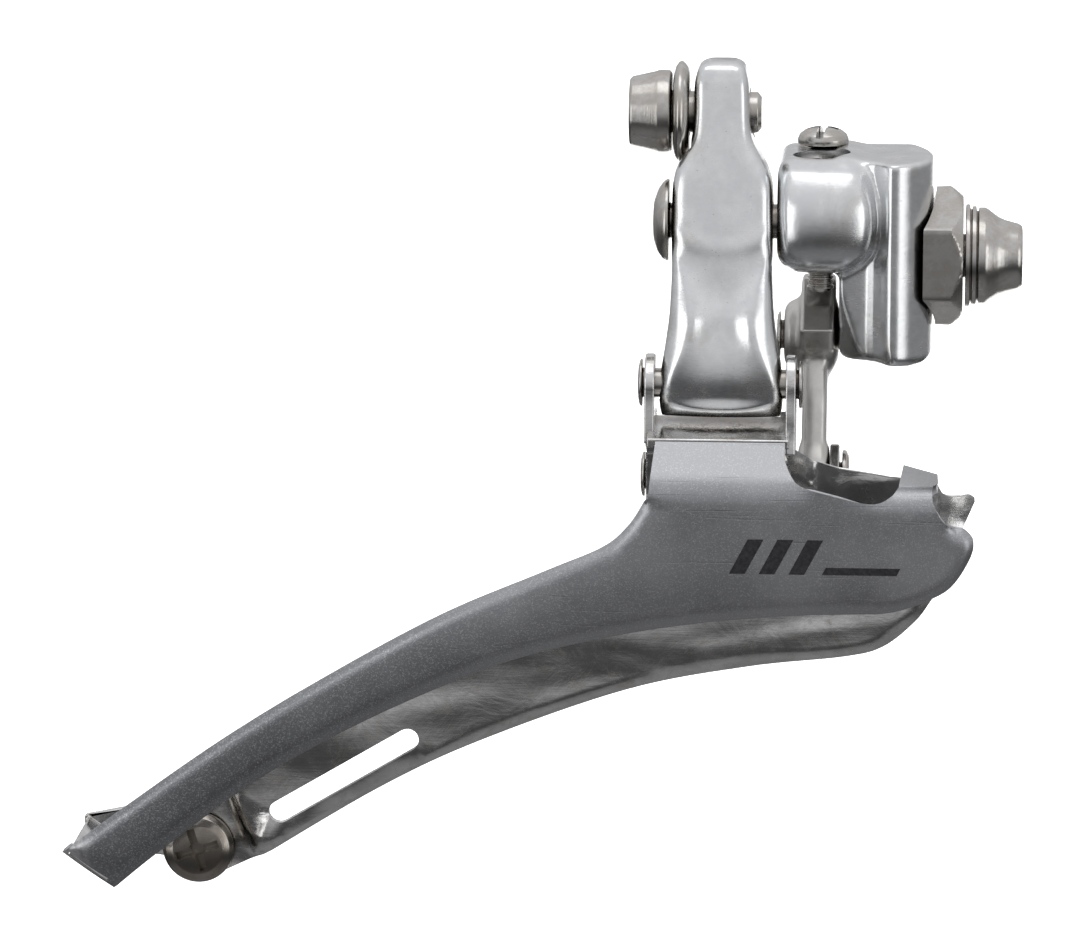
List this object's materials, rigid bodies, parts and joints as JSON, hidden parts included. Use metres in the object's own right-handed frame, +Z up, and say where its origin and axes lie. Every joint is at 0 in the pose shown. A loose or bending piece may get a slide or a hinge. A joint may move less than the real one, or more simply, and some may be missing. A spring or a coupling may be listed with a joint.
{
  "type": "front derailleur",
  "caption": "Braze-on style front derailleur: forged body and two swinging links carry a two-plate chain cage with a long curved tail.",
  "frame": {"origin": "on the hanger bolt's axis, where it meets the body's curved hanger seat", "axes": "+X forward along the hanger bolt, +Z up, -Y outboard to the drive side, +Y towards the seat tube"},
  "size_m": [0.1047, 0.0313, 0.0925],
  "materials": {
    "polished_aluminium": "polished, worn",
    "turned_steel": "turned, slightly stained",
    "chromed_steel": "chromed, stained by use",
    "grey_paint": "metallic grey paint, scratched at the tail",
    "spring_steel": "dark spring wire",
    "sleeve_plastic": "off-white moulded"
  },
  "bodies": {
    "body": {"mount_body": "polished_aluminium", "outer_link_upper_pin": "turned_steel", "inner_link_upper_pin": "turned_steel"},
    "outer_link": {"outer_link": "polished_aluminium"},
    "inner_link": {"inner_link": "polished_aluminium"},
    "cage": {"inner_cage_plate": "chromed_steel", "outer_cage_plate": "grey_paint", "outer_link_lower_pin": "turned_steel", "inner_link_lower_pin": "turned_steel", "return_spring": "spring_steel", "spring_sleeve": "sleeve_plastic", "tail_screw": "turned_steel"},
    "cable_clamp": {"cable_anchor_bolt": "turned_steel", "cable_anchor_plate": "turned_steel"},
    "hanger_clamp": {"clamp_bolt": "turned_steel", "radius_washer": "turned_steel", "flat_washer": "turned_steel", "lock_washer": "turned_steel"},
    "low_limit": {"low_limit_screw": "turned_steel"},
    "high_limit": {"high_limit_screw": "turned_steel"}
  },
  "joints": [
    {"name": "outer_link_swing", "type": "hinge", "parent": "body", "child": "outer_link", "pos_m": [-0.023, -0.0048, 0.00435], "axis": [-1, 0, 0], "range_deg": [0, 32], "stiffness_Nm_per_rad": 1.2, "springref_deg": -28.65},
    {"name": "inner_link_swing", "type": "hinge", "parent": "body", "child": "inner_link", "pos_m": [-0.013, 0.0017, -0.0093], "axis": [-1, 0, 0], "range_deg": [0, 34.7]},
    {"name": "cage_pivot", "type": "hinge", "parent": "outer_link", "child": "cage", "pos_m": [-0.023, -0.01096, -0.01256], "axis": [-1, 0, 0], "range_deg": [-36.1, 0]},
    {"name": "low_limit_adjust", "type": "slide", "parent": "body", "child": "low_limit", "axis": [0, 0, 1], "range_m": [0, 0.003]},
    {"name": "high_limit_adjust", "type": "slide", "parent": "body", "child": "high_limit", "axis": [0, 0, 1], "range_m": [0, 0.003]},
    {"name": "cable_clamp_slack", "type": "slide", "parent": "outer_link", "child": "cable_clamp", "axis": [-1, 0, 0], "range_m": [0, 0.002]},
    {"name": "hanger_clamp_slack", "type": "slide", "parent": "body", "child": "hanger_clamp", "axis": [1, 0, 0], "range_m": [0, 0.004]}
  ],
  "couplings": [
    {"joint": "inner_link_swing", "follows": "outer_link_swing", "ratio": 1.0814},
    {"joint": "cage_pivot", "follows": "outer_link_swing", "ratio": -1.1237}
  ]
}
